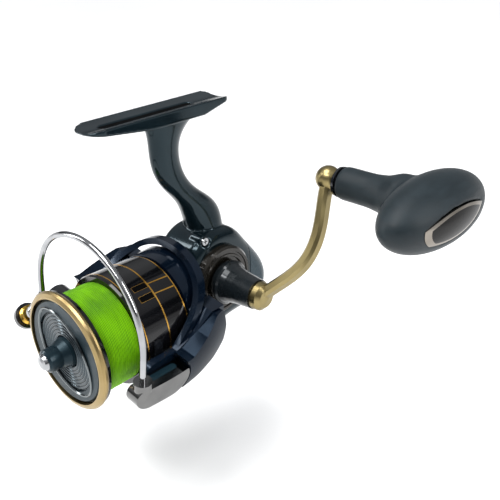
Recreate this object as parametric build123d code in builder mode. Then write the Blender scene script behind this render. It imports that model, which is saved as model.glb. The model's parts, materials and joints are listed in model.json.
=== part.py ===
from build123d import *

import os
from math import atan2, cos, degrees, hypot, pi, radians, sin, sqrt, tan

os.makedirs("parts", exist_ok=True)

# ---------------------------------------------------------------------------
# Driving dimensions (mm, degrees).  +Z points from the reel up to the rod,
# the line leaves along -Y and the handle stands out along +X.  The origin is
# the middle of the foot's saddle, where the rod lies.
# ---------------------------------------------------------------------------
FOOT_TO_LIP = 51.8          # saddle middle to the spool's front lip, along Y
FOOT_TO_SHAFT = 84.6        # saddle middle down to the main shaft

LIP_R = 25.5                # outer radius of the spool's lip ring
LINE_R = 22.0               # radius of the wound line
SKIRT_R = 24.4              # outer radius of the spool's skirt
SKIRT_END = 43.8            # rear edge of the skirt
STROKE = 14.0               # travel of the spool along the shaft line
SHAFT_R = 2.0

CRANK_Y = 73.0              # crank axis behind the lip
CRANK_Z = 7.53              # crank axis above the main shaft
CRANK_REACH = 56.1          # crank axis to grip axis
CRANK_LEAN = 56.73          # crank arm's direction, from +Y up towards +Z

ROTOR_TURN = -8.5           # rest angle of the rotor's arms about the shaft
ARM_IN = 27.2               # inner face of a rotor arm, from the shaft
ARM_OUT = 30.2              # outer face of a rotor arm
HINGE_Y = 20.0              # bail hinge behind the lip
HINGE_Z = -4.0              # bail hinge off the rotor's middle plane
PIVOT_R = 1.6

PINION_TEETH = 8
DRIVE_TEETH = 42
HELIX = 60.0                # pinion helix angle
MESH_BACK = 10.0            # middle of the mesh in front of the crank axis

FIT = 0.05                  # radial clearance of a shaft in its hole
GAP = 0.3                   # clearance between moving parts

# ---------------------------------------------------------------------------
# Places and directions
# ---------------------------------------------------------------------------


def at(x, y, z):
    """A point given from the main shaft at the spool's front lip."""
    return Vector(x, y - FOOT_TO_LIP, z - FOOT_TO_SHAFT)


ROTOR_X = Vector(cos(radians(ROTOR_TURN)), 0, sin(radians(ROTOR_TURN)))
ROTOR_Z = Vector(-sin(radians(ROTOR_TURN)), 0, cos(radians(ROTOR_TURN)))


def rotor_at(x, y, z):
    """A point given in the rotor's own turned axes."""
    return at(0, y, 0) + ROTOR_X * x + ROTOR_Z * z


def side(x):
    """A plane facing +X: its x runs back along the shaft, its y runs up."""
    return Plane(origin=at(x, 0, 0), x_dir=(0, 1, 0), z_dir=(1, 0, 0))


def across(y):
    """A plane facing -Y: its x is +X, its y runs up."""
    return Plane(origin=at(0, y, 0), x_dir=(1, 0, 0), z_dir=(0, -1, 0))


def level(z):
    """A plane facing +Z, measured from the main shaft."""
    return Plane(origin=at(0, 0, z), x_dir=(1, 0, 0), z_dir=(0, 0, 1))


def rotor_side(x):
    """A plane facing along the rotor's arms."""
    origin = rotor_at(x, 0, 0)
    return Plane(origin=origin, x_dir=(0, 1, 0), z_dir=ROTOR_X)


def rotor_across(y):
    """A plane facing -Y, turned with the rotor."""
    return Plane(origin=at(0, y, 0), x_dir=ROTOR_X, z_dir=(0, -1, 0))


def crank_face(x):
    """A plane facing +X, centred on the crank axis."""
    return Plane(origin=at(x, CRANK_Y, CRANK_Z), x_dir=(0, 1, 0), z_dir=(1, 0, 0))


SHAFT = Axis(at(0, 0, 0), (0, 1, 0))
CRANK = Axis(at(0, CRANK_Y, CRANK_Z), (1, 0, 0))
ROTOR_MIDDLE = Plane(origin=at(0, 0, 0), x_dir=(0, 1, 0), z_dir=ROTOR_X)
GRIP_Y = CRANK_Y + CRANK_REACH * cos(radians(CRANK_LEAN))
GRIP_Z = CRANK_Z + CRANK_REACH * sin(radians(CRANK_LEAN))
GRIP = Axis(at(0, GRIP_Y, GRIP_Z), (1, 0, 0))


def grip_face(x):
    """A plane facing +X, centred on the grip's axis."""
    return Plane(origin=at(x, GRIP_Y, GRIP_Z), x_dir=(0, 1, 0), z_dir=(1, 0, 0))


# ---------------------------------------------------------------------------
# Shapes that repeat
# ---------------------------------------------------------------------------


def disc(plane, thickness, outer, inner=0.0, mode=Mode.ADD):
    """A disc or a ring that stands on a plane."""
    with BuildSketch(plane) as face:
        Circle(outer)
        if inner:
            Circle(inner, mode=Mode.SUBTRACT)
    extrude(face.sketch, amount=thickness, mode=mode)


def shaft_ring(start, end, outer, inner=0.0, mode=Mode.ADD):
    """A ring around the main shaft, from one distance behind the lip to another."""
    disc(across(end), end - start, outer, inner, mode)


def crank_ring(start, end, outer, inner=0.0, mode=Mode.ADD):
    """A ring around the crank axis."""
    disc(crank_face(start), end - start, outer, inner, mode)


def turned(points, plane, axis, mode=Mode.ADD):
    """A closed outline turned about an axis that lies in its plane."""
    with BuildSketch(plane) as face:
        with BuildLine():
            Polyline(*points, close=True)
        make_face()
    revolve(face.sketch, axis=axis, mode=mode)


def shaft_turned(points, mode=Mode.ADD):
    """An outline of (distance behind the lip, radius) turned about the shaft."""
    turned(points, side(0), SHAFT, mode)


def crank_turned(points, mode=Mode.ADD):
    """An outline of (distance along X, radius) turned about the crank axis."""
    plane = Plane(origin=at(0, CRANK_Y, CRANK_Z), x_dir=(1, 0, 0), z_dir=(0, -1, 0))
    turned(points, plane, CRANK, mode)


def grip_turned(points, mode=Mode.ADD):
    """An outline of (distance along X, radius) turned about the grip's axis."""
    plane = Plane(origin=at(0, GRIP_Y, GRIP_Z), x_dir=(1, 0, 0), z_dir=(0, -1, 0))
    turned(points, plane, GRIP, mode)


def plate(plane, points, thickness, mode=Mode.ADD, corner=0.0):
    """A straight-edged plate that stands on a plane, its corners rounded if asked."""
    with BuildSketch(plane) as face:
        with BuildLine():
            Polyline(*points, close=True)
        make_face()
        if corner:
            fillet(face.vertices(), radius=corner)
    extrude(face.sketch, amount=thickness, mode=mode)


def gear_outline(teeth, module, first_tooth):
    """The points of a simple spur gear whose first tooth stands at an angle."""
    pitch_r = teeth * module / 2
    points = []
    for tooth in range(teeth):
        middle = radians(first_tooth) + 2 * pi * tooth / teeth
        for radius, part in (
            (pitch_r - 1.2 * module, -0.27),
            (pitch_r + 0.85 * module, -0.09),
            (pitch_r + 0.85 * module, 0.09),
            (pitch_r - 1.2 * module, 0.27),
        ):
            angle = middle + part * 2 * pi / teeth
            points.append((radius * cos(angle), radius * sin(angle)))
    return points


def pan_screw(plane, head_r, head_h, shank_r, shank_l):
    """A pan-head screw: its head stands on the plane, its shank goes behind it."""
    disc(plane, head_h, head_r)
    disc(plane, -shank_l, shank_r)
    with BuildSketch(plane.offset(head_h)) as slot:
        Rectangle(head_r * 1.2, head_r * 0.28)
        Rectangle(head_r * 0.28, head_r * 1.2)
    extrude(slot.sketch, amount=-head_h * 0.5, mode=Mode.SUBTRACT)


def bearing(plane, width, outer, inner):
    """A shielded ball bearing as one solid, with its shields set back."""
    disc(plane, width, outer, inner)
    middle = (outer + inner) / 2
    shield = (outer - inner) * 0.28
    disc(plane, 0.25, middle + shield, middle - shield, Mode.SUBTRACT)
    disc(plane.offset(width), -0.25, middle + shield, middle - shield, Mode.SUBTRACT)


def save(piece, name):
    """Names a finished piece and writes it to its own file."""
    piece.part.label = name
    export_step(piece.part, f"parts/{name}.step")


# ---------------------------------------------------------------------------
# Body: foot, stem and gearbox
# ---------------------------------------------------------------------------
FOOT_FRONT = 18.4
FOOT_BACK = 88.0
FOOT_HALF = 7.72
FOOT_TOP = 85.87
SADDLE_DEPTH = FOOT_TOP - FOOT_TO_SHAFT
SADDLE_R = (FOOT_HALF**2 + SADDLE_DEPTH**2) / (2 * SADDLE_DEPTH)
TIP_LOW = 84.0              # underside of the foot at its tips
FOOT_LOW = 80.6             # underside of the foot beside the stem
COVER_R = 15.74             # side cover
COVER_FACE = 16.26
BODY_HALF = 12.6            # half width of the gearbox
OPENING_R = 14.4            # opening that the drive gear passes through
REAR_Y = 93.0               # where the rear cover meets the gearbox
NOSE_R = 17.0
NOSE_Y = 41.0               # front of the clutch housing, inside the rotor
NOSE_BACK = 57.2            # just ahead of the side cover

# Stem sections: height, middle along Y, half depth, half width
STEM = (
    (82.4, 62.4, 15.5, 6.6),
    (78.0, 59.2, 10.4, 5.6),
    (70.0, 57.0, 7.2, 4.7),
    (61.0, 57.6, 6.8, 4.6),
    (52.0, 62.0, 6.6, 5.0),
    (43.0, 70.4, 7.9, 6.2),
    (34.0, 75.2, 8.8, 8.2),
    (22.0, 79.8, 11.6, 10.0),
)

GEARBOX = (
    (59.0, 21.5),
    (66.5, 28.5),
    (75.0, 30.0),
    (84.5, 27.5),
    (93.5, 18.0),
    (101.0, 8.5),
    (105.6, -3.0),
    (103.0, -11.0),
    (93.0, -15.2),
    (78.0, -16.4),
    (62.0, -17.0),
    (57.8, -12.0),
    (57.6, 8.0),
)


def gearbox_block():
    """The rounded outside of the gearbox, rear cover included."""
    with BuildPart() as block:
        with BuildSketch(side(-BODY_HALF)) as outline:
            with BuildLine():
                Spline(*GEARBOX, periodic=True)
            make_face()
        extrude(outline.sketch, amount=2 * BODY_HALF)
        fillet(block.edges().filter_by(GeomType.BSPLINE), radius=5.5)
    return block.part


def rear_half(keep_rear):
    """The region behind the joint between gearbox and rear cover, or before it."""
    depth = 60.0
    with BuildPart() as region:
        with BuildSketch(across(REAR_Y)) as face:
            Rectangle(80, 120)
        extrude(face.sketch, amount=-depth if keep_rear else depth)
    return region.part


GEARBOX_BLOCK = gearbox_block()

with BuildPart() as foot_blank:
    with BuildSketch(side(-FOOT_HALF)):
        with BuildLine():
            Polyline(
                (FOOT_FRONT, FOOT_TOP),
                (FOOT_FRONT, TIP_LOW),
                (46.0, FOOT_LOW),
                (74.0, FOOT_LOW),
                (FOOT_BACK, TIP_LOW),
                (FOOT_BACK, FOOT_TOP),
                close=True,
            )
        make_face()
    extrude(amount=2 * FOOT_HALF)
    front_corners = foot_blank.edges().filter_by(Axis.Z).group_by(Axis.Y)[0]
    rear_corners = foot_blank.edges().filter_by(Axis.Z).group_by(Axis.Y)[-1]
    fillet(front_corners, radius=6.8)
    fillet(rear_corners, radius=3.0)
    saddle = Plane(
        origin=at(0, FOOT_FRONT - 1, FOOT_TO_SHAFT + SADDLE_R),
        x_dir=(1, 0, 0),
        z_dir=(0, 1, 0),
    )
    disc(saddle, FOOT_BACK - FOOT_FRONT + 2, SADDLE_R, mode=Mode.SUBTRACT)
    with BuildSketch(level(FOOT_TOP)) as panel:
        with Locations((0, 50.0)):
            SlotOverall(46.0, 4.4, rotation=90)
    extrude(panel.sketch, amount=-2.2, mode=Mode.SUBTRACT)

OPEN_X = (-10.4, 9.0)       # gearbox hollow across the reel
NOSE_BEARING = (49.5, 54.5)
OSC_Y = 77.2                # oscillation gear axis
OSC_Z = -4.5
GUIDE_X = 0.0               # guide rod of the slider
GUIDE_Z = -12.4
GUIDE_R = 1.1
BEARING_R = 6.0
LEFT_BOSS = -14.6

STUD_R = 1.9
STEM_SCREW = Plane(origin=at(10.4, 66.6, 27.2), x_dir=(0, 1, 0), z_dir=(1, 0, 0))
STEM_SCREW_R = 0.9
STEM_SCREW_DEEP = 5.0

SLIDER_POCKET = (
    (60.0, 4.0),
    (60.0, -13.8),
    (90.0, -13.8),
    (90.0, -10.6),
    (93.5, -10.6),
    (93.5, 8.0),
    (84.0, 16.0),
)


def osc_face(x):
    """A plane facing +X, centred on the oscillation gear's axis."""
    return Plane(origin=at(x, OSC_Y, OSC_Z), x_dir=(0, 1, 0), z_dir=(1, 0, 0))


with BuildPart() as body_housing:
    add(GEARBOX_BLOCK)
    crank_ring(2.0, BODY_HALF, COVER_R)
    crank_ring(LEFT_BOSS, -BODY_HALF + 1.0, BEARING_R + 2.0)
    shaft_ring(NOSE_Y, NOSE_BACK, NOSE_R)
    shaft_ring(NOSE_BACK - 1, 62.0, 12.0)
    for height, middle, half_depth, half_width in STEM:
        with BuildSketch(level(height)):
            with Locations((0, middle)):
                Ellipse(half_width, half_depth)
    loft()
    add(foot_blank.part)
    add(rear_half(True), mode=Mode.SUBTRACT)
    # Hollow: round pocket for the drive gear, long pocket for the slider
    crank_ring(OPEN_X[0], BODY_HALF, OPENING_R - 1.4, mode=Mode.SUBTRACT)
    crank_ring(3.6, BODY_HALF, OPENING_R, mode=Mode.SUBTRACT)
    plate(side(OPEN_X[0]), SLIDER_POCKET, OPEN_X[1] - OPEN_X[0], Mode.SUBTRACT)
    # Nose: clutch seat, bearing seat and the way through for the pinion
    shaft_ring(NOSE_Y, NOSE_BEARING[0], 12.5, mode=Mode.SUBTRACT)
    shaft_ring(*NOSE_BEARING, 7.0, mode=Mode.SUBTRACT)
    shaft_ring(NOSE_BEARING[1], 61.0, 5.3, mode=Mode.SUBTRACT)
    # Left bearing seat and the opening behind the cap
    crank_ring(OPEN_X[0] - 0.1, -9.2, BEARING_R + 1.4)
    crank_ring(LEFT_BOSS, -9.2, BEARING_R, mode=Mode.SUBTRACT)
    # Stud that carries the oscillation gear
    disc(osc_face(-11.0), 2.4, 2.8)
    disc(osc_face(-9.0), 3.1, STUD_R)
    # Seat of the slider's guide rod
    guide_line = Plane(origin=at(GUIDE_X, 58.4, GUIDE_Z), x_dir=(1, 0, 0), z_dir=(0, 1, 0))
    disc(guide_line, 33.4, GUIDE_R, mode=Mode.SUBTRACT)
    # Boss and hole of the screw at the foot of the stem
    disc(STEM_SCREW, -7.0, 2.3)
    disc(STEM_SCREW, 4.0, 2.3, mode=Mode.SUBTRACT)
    disc(STEM_SCREW, -STEM_SCREW_DEEP, STEM_SCREW_R, mode=Mode.SUBTRACT)
save(body_housing, "body_housing")

with BuildPart() as side_cover:
    crank_turned(
        [
            (10.4, 6.5),
            (10.4, 8.0),
            (BODY_HALF, 8.0),
            (BODY_HALF, COVER_R),
            (15.3, COVER_R),
            (COVER_FACE, COVER_R - 0.9),
            (COVER_FACE, 13.6),
            (15.8, 13.3),
            (15.8, 12.5),
            (COVER_FACE, 12.2),
            (COVER_FACE, 11.3),
            (15.3, 10.9),
            (15.3, 5.4),
            (14.4, 5.4),
            (14.4, 6.5),
        ]
    )
save(side_cover, "side_cover")

with BuildPart() as rear_cover:
    add(GEARBOX_BLOCK)
    add(rear_half(False), mode=Mode.SUBTRACT)
    plate(
        side(-8.5),
        [(REAR_Y, -11.0), (99.5, -8.5), (102.6, -3.0), (100.0, 4.5), (REAR_Y, 13.0)],
        17.0,
        Mode.SUBTRACT,
    )
    # Groove that runs round the cover beside its joint
    with BuildSketch(side(-BODY_HALF)) as groove:
        with BuildLine():
            Polyline((96.0, 30), (97.2, 30), (97.2, -30), (96.0, -30), close=True)
        make_face()
    extrude(groove.sketch, amount=0.8, mode=Mode.SUBTRACT)
save(rear_cover, "rear_cover")

with BuildPart() as left_cap:
    crank_turned(
        [
            (LEFT_BOSS, 0),
            (LEFT_BOSS, 8.0),
            (LEFT_BOSS - 1.2, 8.0),
            (LEFT_BOSS - 2.4, 6.6),
            (LEFT_BOSS - 2.4, 0),
        ]
    )
    crank_ring(LEFT_BOSS, LEFT_BOSS + 1.2, BEARING_R, BEARING_R - 1.4)
    with BuildSketch(crank_face(LEFT_BOSS - 2.4)) as coin_slot:
        Rectangle(9.0, 1.5)
    extrude(coin_slot.sketch, amount=1.0, mode=Mode.SUBTRACT)
save(left_cap, "left_cap")

with BuildPart() as body_screws:
    pan_screw(STEM_SCREW, 1.7, 1.0, STEM_SCREW_R, STEM_SCREW_DEEP)
save(body_screws, "body_screws")

SHAFT_LEFT = 2.6            # radii of the drive gear's shaft
SHAFT_MIDDLE = 3.2
SHAFT_RIGHT = 3.5

with BuildPart() as drive_bearing_right:
    bearing(crank_face(10.7), 3.6, 6.5, SHAFT_RIGHT + FIT)
save(drive_bearing_right, "drive_bearing_right")

with BuildPart() as drive_bearing_left:
    bearing(crank_face(-12.8), 3.4, BEARING_R, SHAFT_LEFT + FIT)
save(drive_bearing_left, "drive_bearing_left")

PINION_NECK = 3.2
with BuildPart() as pinion_bearing:
    bearing(across(NOSE_BEARING[1]), 4.6, 7.0, PINION_NECK + FIT)
save(pinion_bearing, "pinion_bearing")

CLUTCH_START = 42.3
CLUTCH_END = 49.4
with BuildPart() as clutch_ring:
    shaft_ring(CLUTCH_START, CLUTCH_END, 12.5, 10.9)
save(clutch_ring, "clutch_ring")

with BuildPart() as clutch_rollers:
    with BuildSketch(across(CLUTCH_END - 0.3)) as rollers:
        with PolarLocations(9.55, 8):
            Circle(1.3)
    extrude(rollers.sketch, amount=6.4)
save(clutch_rollers, "clutch_rollers")

with BuildPart() as clutch_cover:
    shaft_ring(NOSE_Y - 0.9, NOSE_Y, 14.6, 8.4)
    shaft_ring(NOSE_Y, CLUTCH_START, 12.4, 11.0)
save(clutch_cover, "clutch_cover")

with BuildPart() as guide_rod:
    disc(guide_line.offset(0.2), 33.0, GUIDE_R)
save(guide_rod, "guide_rod")

with BuildPart() as oscillation_clip:
    disc(osc_face(-5.9), 0.5, 3.1)
save(oscillation_clip, "oscillation_clip")

# ---------------------------------------------------------------------------
# Rotor: drum, arms, hoop and what turns with it
# ---------------------------------------------------------------------------
DRUM_R = 22.3
ROTOR_FRONT = 24.0
ROTOR_REAR = 56.6
HOOP_IN = 26.6
HOOP_OUT = 29.2

ARM_OUTLINE = (
    (20.0, -10.3),
    (40.0, -9.6),
    (50.0, -5.5),
    (56.4, 0.0),
    (56.4, 13.0),
    (49.5, 13.0),
    (41.0, 6.5),
    (31.0, 2.3),
    (20.0, 2.3),
)
ARM_ROOT = (
    (45.0, -7.6),
    (50.0, -5.5),
    (56.4, 0.0),
    (56.4, 13.0),
    (49.5, 13.0),
    (45.0, 10.0),
)


def outside_limit():
    """The rounded space, turned about the shaft, that the arms' outsides stay in."""
    with BuildPart() as limit:
        with BuildSketch(side(0)) as face:
            with BuildLine():
                edge = Spline((2.0, 36.6), (20.0, 38.2), (38.0, 37.4), (57.5, 32.6))
                Polyline(edge @ 1, (57.5, 0), (2.0, 0), edge @ 0)
            make_face()
        revolve(face.sketch, axis=SHAFT)
    return limit.part


OUTSIDE = outside_limit()

with BuildPart() as rotor_arm:
    plate(rotor_side(ARM_IN), ARM_OUTLINE, ARM_OUT - ARM_IN)
    hinge_end = Plane(
        origin=rotor_at(ARM_IN, HINGE_Y, HINGE_Z), x_dir=(0, 1, 0), z_dir=ROTOR_X
    )
    disc(hinge_end, ARM_OUT - ARM_IN, 6.3)
    plate(rotor_side(21.0), ARM_ROOT, ARM_IN - 21.0)
    disc(hinge_end, ARM_OUT - ARM_IN, PIVOT_R, mode=Mode.SUBTRACT)
    disc(hinge_end, 1.0, 3.2, mode=Mode.SUBTRACT)

with BuildPart() as hoop:
    with BuildSketch(rotor_side(-ARM_OUT)) as band:
        with BuildLine():
            rear_edge = Spline((31.4, -2.5), (38.0, 4.2), (45.6, 10.9), (53.1, 19.4), (56.9, 30))
            front_edge = Spline((53.2, 30), (50.0, 20.4), (43.0, 12.0), (34.2, 4.4), (27.6, -2.5))
            Line(rear_edge @ 1, front_edge @ 0)
            Line(front_edge @ 1, rear_edge @ 0)
        make_face()
    extrude(band.sketch, amount=2 * ARM_OUT)
    with BuildPart(mode=Mode.PRIVATE) as hoop_tube:
        shaft_ring(20, 60, HOOP_OUT, HOOP_IN)
    add(hoop_tube.part, mode=Mode.INTERSECT)

with BuildPart() as rotor:
    shaft_turned(
        [
            (ROTOR_FRONT, PINION_NECK),
            (ROTOR_FRONT, DRUM_R - 1.0),
            (ROTOR_FRONT + 1.0, DRUM_R),
            (44.3, DRUM_R),
            (45.0, 24.2),
            (54.5, 24.9),
            (ROTOR_REAR, 23.4),
            (ROTOR_REAR, 21.6),
            (46.0, 20.6),
            (ROTOR_FRONT + 2.6, 20.6),
            (ROTOR_FRONT + 2.6, 7.6),
            (32.0, 7.6),
            (32.0, PINION_NECK),
        ]
    )
    add(rotor_arm.part)
    mirror(rotor_arm.part, about=ROTOR_MIDDLE)
    add(hoop.part)
    # Lightening windows in the drum's front wall
    with BuildSketch(rotor_across(ROTOR_FRONT + 3)) as windows:
        with PolarLocations(14.0, 6, start_angle=30):
            Circle(3.6)
    extrude(windows.sketch, amount=4, mode=Mode.SUBTRACT)
save(rotor, "rotor")

COVER_OUTLINE = (
    (24.0, -12.2),
    (38.0, -10.4),
    (47.0, -7.0),
    (54.0, -1.6),
    (56.2, 4.5),
    (55.6, 12.2),
    (50.0, 12.2),
    (42.0, 7.2),
    (33.0, 2.6),
    (24.0, 2.6),
)
COVER_CORNER = 2.4
LEVER_REACH = 11.2          # rear end of the bail lever, from its hinge

with BuildPart() as near_arm_cover:
    plate(rotor_side(ARM_OUT), COVER_OUTLINE, 9.0, corner=COVER_CORNER)
    add(OUTSIDE, mode=Mode.INTERSECT)
    hinge_face = hinge_end.offset(ARM_OUT - ARM_IN)
    disc(hinge_face, 10.0, LEVER_REACH + 0.6, mode=Mode.SUBTRACT)
save(near_arm_cover, "near_arm_cover")

with BuildPart() as far_arm_cover:
    mirror(near_arm_cover.part, about=ROTOR_MIDDLE)
save(far_arm_cover, "far_arm_cover")

with BuildPart() as rotor_nut:
    with BuildSketch(across(ROTOR_FRONT)) as hexagon:
        RegularPolygon(6.2, 6)
        Circle(2.9, mode=Mode.SUBTRACT)
    extrude(hexagon.sketch, amount=2.8)
save(rotor_nut, "rotor_nut")

PINION_END = 66.2
PINION_FRONT = 57.0
rise = DRIVE_TEETH / PINION_TEETH
MESH_SPEED = CRANK_Z + MESH_BACK / tan(radians(HELIX))
PINION_LEAD = MESH_SPEED / rise * 2 * pi
PINION_R = tan(radians(HELIX)) * MESH_SPEED / rise
PINION_TIP = PINION_R + 0.45
PINION_ROOT = PINION_R - 1.0
TOOTH_FACE = PINION_TIP - 0.35      # how far along X the drive gear's teeth reach


def pinion_section():
    """One section of the helical pinion."""
    points = []
    for tooth in range(PINION_TEETH):
        middle = 360 * tooth / PINION_TEETH
        for radius, width in (
            (PINION_ROOT, -1.0),
            (PINION_TIP, -0.5),
            (PINION_TIP, 0.5),
            (PINION_ROOT, 1.0),
        ):
            angle = radians(middle) + width / radius
            points.append((radius * cos(angle), radius * sin(angle)))
    with BuildSketch(across(PINION_FRONT)) as section:
        with BuildLine():
            Polyline(*points, close=True)
        make_face()
    return section.sketch.faces()[0]


pinion_length = PINION_END - PINION_FRONT
pinion_teeth = Solid.extrude_linear_with_rotation(
    pinion_section(),
    center=at(0, PINION_FRONT, 0),
    normal=Vector(0, pinion_length, 0),
    angle=-360 * pinion_length / PINION_LEAD,
)

with BuildPart() as pinion_gear:
    add(pinion_teeth)
    shaft_ring(21.4, PINION_FRONT + 0.6, PINION_NECK)
    shaft_ring(21.0, PINION_END + 1, SHAFT_R + FIT, mode=Mode.SUBTRACT)
    # Threaded front end that takes the rotor nut
    shaft_ring(21.3, ROTOR_FRONT, PINION_NECK + 1, 2.9, mode=Mode.SUBTRACT)
save(pinion_gear, "pinion_gear")

with BuildPart() as clutch_sleeve:
    shaft_ring(32.0, 49.2, 7.9, PINION_NECK)
save(clutch_sleeve, "clutch_sleeve")

with BuildPart() as near_pivot:
    disc(hinge_end, 0.9, 3.1)
    disc(hinge_end, 7.6, PIVOT_R)
with BuildPart() as pivot_screws:
    add(near_pivot.part)
    mirror(near_pivot.part, about=ROTOR_MIDDLE)
save(pivot_screws, "pivot_screws")

# ---------------------------------------------------------------------------
# Bail: lever, wire, roller arm and line roller
# ---------------------------------------------------------------------------
LEVER_IN = ARM_OUT + GAP
WIRE_R = 1.3
WIRE_Y = 10.0
NEAR_LEG = 34.4
FAR_LEG = 32.0
ARCH_R = (NEAR_LEG + FAR_LEG) / 2
ARCH_X = (NEAR_LEG - FAR_LEG) / 2
ARCH_Z = 14.2
ROLLER_AT = (-36.2, 6.0, -5.9)
ROLLER_OUT = (-ROTOR_X - ROTOR_Z) / sqrt(2)


def roller_face(distance):
    """A plane across the roller's axis, its x running back along the shaft."""
    origin = rotor_at(*ROLLER_AT) + ROLLER_OUT * distance
    return Plane(origin=origin, x_dir=(0, 1, 0), z_dir=ROLLER_OUT)


def roller_ring(start, end, outer, inner=0.0, mode=Mode.ADD):
    """A ring around the roller's axis."""
    disc(roller_face(start), end - start, outer, inner, mode)


with BuildPart() as bail_lever:
    with BuildSketch(rotor_side(LEVER_IN)) as lever_side:
        with BuildLine():
            top = Line((30.4, -0.9), (7.4, -0.9))
            nose = Spline(top @ 1, (5.4, -3.2), (6.8, -8.4), (14.0, -12.2))
            low = Line(nose @ 1, (24.5, -12.6))
            ThreePointArc(low @ 1, (30.4, -7.8), top @ 0)
        make_face()
    extrude(lever_side.sketch, amount=9.0)
    add(OUTSIDE, mode=Mode.INTERSECT)
    boss = Plane(origin=rotor_at(NEAR_LEG, WIRE_Y, -2.0), x_dir=ROTOR_X, z_dir=ROTOR_Z)
    disc(boss, 4.0, 3.7)
    disc(boss, 5.0, WIRE_R, mode=Mode.SUBTRACT)
    disc(hinge_end, 7.9, PIVOT_R + FIT, mode=Mode.SUBTRACT)
    # Recess for the inner plate
    recess = Plane(origin=rotor_at(32.9, 21.0, -0.9), x_dir=(0, 1, 0), z_dir=ROTOR_Z)
    with BuildSketch(recess) as recess_face:
        SlotOverall(14.0, 3.4)
    extrude(recess_face.sketch, amount=-1.0, mode=Mode.SUBTRACT)
save(bail_lever, "bail_lever")

with BuildPart() as lever_plate:
    with BuildSketch(recess.offset(-1.0)):
        SlotOverall(13.8, 3.2)
    extrude(amount=0.9)
save(lever_plate, "lever_plate")

with BuildPart() as bail_wire:
    leg_end = rotor_at(NEAR_LEG, WIRE_Y, -1.9)
    with BuildLine():
        near_leg = Line(leg_end, rotor_at(NEAR_LEG, WIRE_Y, ARCH_Z))
        arch = ThreePointArc(
            near_leg @ 1,
            rotor_at(ARCH_X, WIRE_Y, ARCH_Z + ARCH_R),
            rotor_at(-FAR_LEG, WIRE_Y, ARCH_Z),
        )
        Line(arch @ 1, rotor_at(-FAR_LEG, WIRE_Y, 7.0))
    with BuildSketch(Plane(origin=leg_end, x_dir=ROTOR_X, z_dir=ROTOR_Z)):
        Circle(WIRE_R)
    sweep()
    # The wire widens into the cap that holds the roller
    wire_end = rotor_at(-FAR_LEG, WIRE_Y, 7.0)
    cap_end = rotor_at(*ROLLER_AT) - ROLLER_OUT * 4.8
    cone_line = cap_end - wire_end
    cone_plane = Plane(origin=wire_end, x_dir=cone_line, z_dir=cone_line.cross(ROTOR_X))
    cone = [(0, 0), (0, WIRE_R), (cone_line.length, 2.9), (cone_line.length, 0)]
    turned(cone, cone_plane, Axis(wire_end, cone_line))
    with Locations(wire_end):
        Sphere(WIRE_R)
    with Locations(cap_end):
        Sphere(3.0)
    roller_ring(-4.4, 1.0, 3.3, mode=Mode.SUBTRACT)
    roller_ring(-5.4, -2.5, 3.2)
    roller_ring(-4.4, -2.0, 1.5, mode=Mode.SUBTRACT)
save(bail_wire, "bail_wire")

with BuildPart() as roller_arm:
    with BuildSketch(roller_face(2.3)) as arm_face:
        Circle(5.7)
        with Locations((7.0, 0)):
            Rectangle(14.0, 9.0)
        with Locations((14.0, 0)):
            Circle(4.5)
    extrude(arm_face.sketch, amount=2.3)
    mirror_hinge = Plane(
        origin=rotor_at(-LEVER_IN, HINGE_Y, HINGE_Z), x_dir=(0, 1, 0), z_dir=-ROTOR_X
    )
    disc(mirror_hinge, 6.4, 6.6)
    disc(mirror_hinge, 8.0, PIVOT_R + FIT, mode=Mode.SUBTRACT)
    roller_ring(2.0, 5.0, 1.5, mode=Mode.SUBTRACT)
save(roller_arm, "roller_arm")

with BuildPart() as roller_screw:
    roller_ring(-4.4, 4.6, 1.5)
    roller_ring(4.6, 5.5, 2.8)
    with BuildSketch(roller_face(5.5)) as hex_socket:
        RegularPolygon(1.2, 6)
    extrude(hex_socket.sketch, amount=-0.6, mode=Mode.SUBTRACT)
save(roller_screw, "roller_screw")

with BuildPart() as roller_bearing:
    roller_ring(-1.6, 1.4, 2.6, 1.5)
save(roller_bearing, "roller_bearing")

with BuildPart() as line_roller:
    roller_axis = Axis(rotor_at(*ROLLER_AT), ROLLER_OUT)
    roller_plane = Plane(
        origin=rotor_at(*ROLLER_AT),
        x_dir=ROLLER_OUT,
        z_dir=ROLLER_OUT.cross(Vector(0, 1, 0)),
    )
    turned(
        [
            (-2.2, 2.65),
            (-2.2, 3.9),
            (-1.5, 3.9),
            (-0.5, 3.3),
            (0.6, 3.3),
            (1.4, 4.2),
            (2.0, 4.2),
            (2.0, 2.65),
        ],
        roller_plane,
        roller_axis,
    )
save(line_roller, "line_roller")

# ---------------------------------------------------------------------------
# Main shaft and the slider that moves it
# ---------------------------------------------------------------------------
SLIDER_Y = OSC_Y + STROKE / 2

with BuildPart() as main_shaft:
    shaft_ring(-8.8, SLIDER_Y + 3.2, SHAFT_R)
    shaft_ring(SLIDER_Y - 0.8, SLIDER_Y + 3.2, 1.0, mode=Mode.SUBTRACT)
save(main_shaft, "main_shaft")

with BuildPart() as slider:
    plate(
        across(SLIDER_Y + 3.2),
        [(-3.2, 3.7), (3.2, 3.7), (3.2, -4.0), (2.4, -4.0), (2.4, -13.5), (-3.2, -13.5)],
        6.4,
    )
    with BuildSketch(side(-3.2)) as groove:
        with Locations((SLIDER_Y, -5.0)):
            Rectangle(2.7, 20.0)
    extrude(groove.sketch, amount=0.9, mode=Mode.SUBTRACT)
    shaft_ring(SLIDER_Y - 4, SLIDER_Y + 4, SHAFT_R, mode=Mode.SUBTRACT)
    disc(guide_line, 40.0, GUIDE_R + 0.1, mode=Mode.SUBTRACT)
save(slider, "slider")

with BuildPart() as slider_screw:
    rear_face = Plane(origin=at(0, SLIDER_Y + 3.2, 0), x_dir=(1, 0, 0), z_dir=(0, 1, 0))
    pan_screw(rear_face, 2.8, 1.2, 1.0, 3.8)
save(slider_screw, "slider_screw")

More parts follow.
